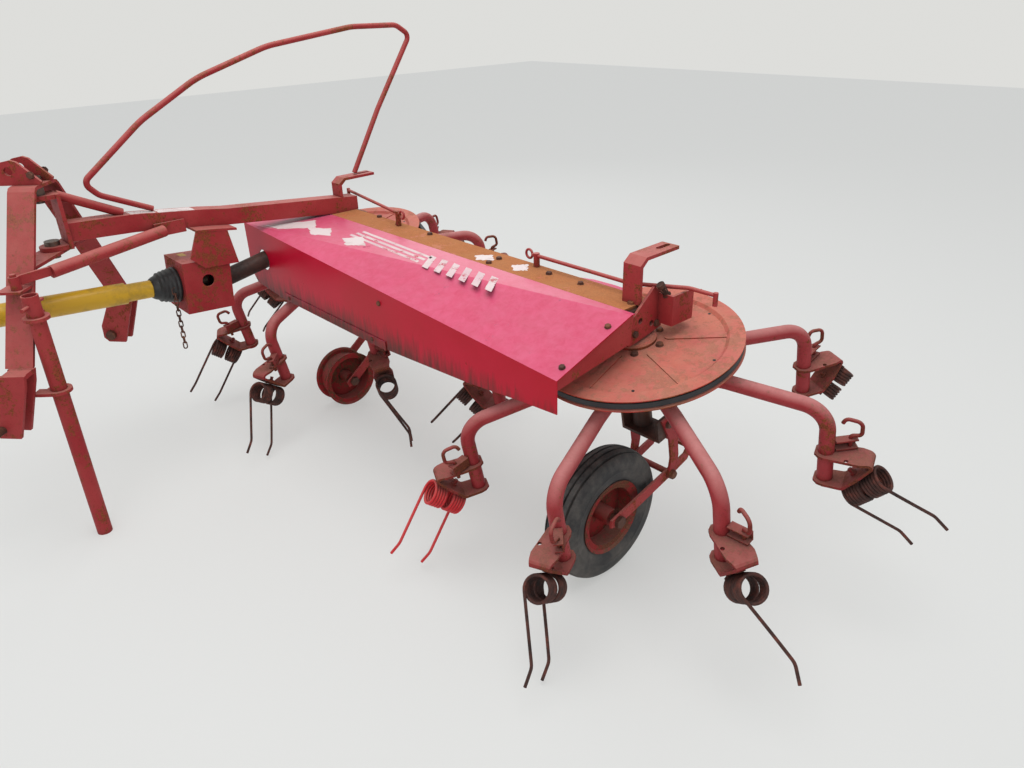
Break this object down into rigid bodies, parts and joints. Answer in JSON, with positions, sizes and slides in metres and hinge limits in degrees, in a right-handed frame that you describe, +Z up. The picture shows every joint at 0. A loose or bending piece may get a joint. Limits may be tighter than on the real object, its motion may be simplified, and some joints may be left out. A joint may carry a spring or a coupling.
{
  "type": "hay tedder",
  "caption": "Carried two-rotor hay tedder with crossed belt drive, hooded discs, spring tines on bent arms, offset swivelled headstock and stand leg.",
  "frame": {"origin": "centre of the machine's footprint on the ground, below the middle of its bounding box", "axes": "+X along the hood towards the rotor that keeps its tyre, +Y towards the rear, away from the tractor, +Z up from the ground"},
  "size_m": [3.1734, 2.3588, 1.5218],
  "materials": {
    "hood_red": "satin",
    "frame_orange": "satin",
    "disc_orange": "satin",
    "rusty_steel": "rough",
    "spring_steel": "rough",
    "bare_steel": "worn",
    "guard_yellow": "matte",
    "guard_black": "matte",
    "belt_rubber": "matte",
    "tyre_rubber": "matte"
  },
  "bodies": {
    "frame": {"cross_member": "frame_orange", "hood": "hood_red", "hood_lower_panel": "hood_red", "hood_end_rib": "frame_orange", "rear_cover": "hood_red", "drawbar": "frame_orange", "yoke": "frame_orange", "headstock": "frame_orange", "link_clevises": "frame_orange", "top_link_plates": "frame_orange", "hitch_pins": "rusty_steel", "swivel_pins": "bare_steel", "side_stay": "frame_orange", "stay_bracket": "frame_orange", "stand_guides": "frame_orange", "input_support": "hood_red", "input_guard": "guard_black", "gearbox": "rusty_steel", "bearing_housing": "rusty_steel", "columns": "rusty_steel", "wheel_straps": "frame_orange", "wheel_forks": "frame_orange", "wheel_axles": "bare_steel", "slot_brackets": "frame_orange", "side_plate": "frame_orange", "clamp_block": "hood_red", "lock_rods": "rusty_steel", "hoop": "frame_orange", "belt": "belt_rubber", "pto_guard": "guard_yellow", "guard_chain": "rusty_steel"},
    "rotor_far": {"disc_far": "disc_orange", "arms_far": "frame_orange", "holders_far": "rusty_steel", "tines_far": "spring_steel"},
    "rotor_near": {"disc_near": "disc_orange", "arms_near": "frame_orange", "holders_near": "rusty_steel", "tines_near": "spring_steel", "tine_new": "hood_red"},
    "wheel_near": {"rim_near": "frame_orange", "tyre_near": "tyre_rubber"},
    "wheel_far": {"rim_far": "frame_orange"},
    "stand": {"stand_leg": "rusty_steel"},
    "drive_shaft": {"pto_shaft": "bare_steel"}
  },
  "joints": [
    {"name": "rotor_far_spin", "type": "hinge", "parent": "frame", "child": "rotor_far", "pos_m": [-0.77, 0.28271, 0.717], "axis": [0, -0.1942, 0.981], "continuous": true},
    {"name": "rotor_near_spin", "type": "hinge", "parent": "frame", "child": "rotor_near", "pos_m": [0.77, 0.28271, 0.717], "axis": [0, -0.1942, 0.981], "continuous": true},
    {"name": "drive_shaft_spin", "type": "hinge", "parent": "frame", "child": "drive_shaft", "pos_m": [-0.77, -0.43929, 0.694], "axis": [0, -0.9976, 0.0698], "continuous": true},
    {"name": "wheel_near_spin", "type": "hinge", "parent": "frame", "child": "wheel_near", "pos_m": [0.8, 0.12271, 0.21], "axis": [1, 0, 0], "continuous": true},
    {"name": "wheel_far_spin", "type": "hinge", "parent": "frame", "child": "wheel_far", "pos_m": [-0.74, 0.16813, 0.119], "axis": [1, 0, 0], "continuous": true},
    {"name": "stand_slide", "type": "slide", "parent": "frame", "child": "stand", "axis": [0, 0, 1], "range_m": [0, 0.09]}
  ],
  "couplings": [
    {"joint": "rotor_near_spin", "follows": "rotor_far_spin", "ratio": -1},
    {"joint": "drive_shaft_spin", "follows": "rotor_far_spin", "ratio": 3}
  ]
}
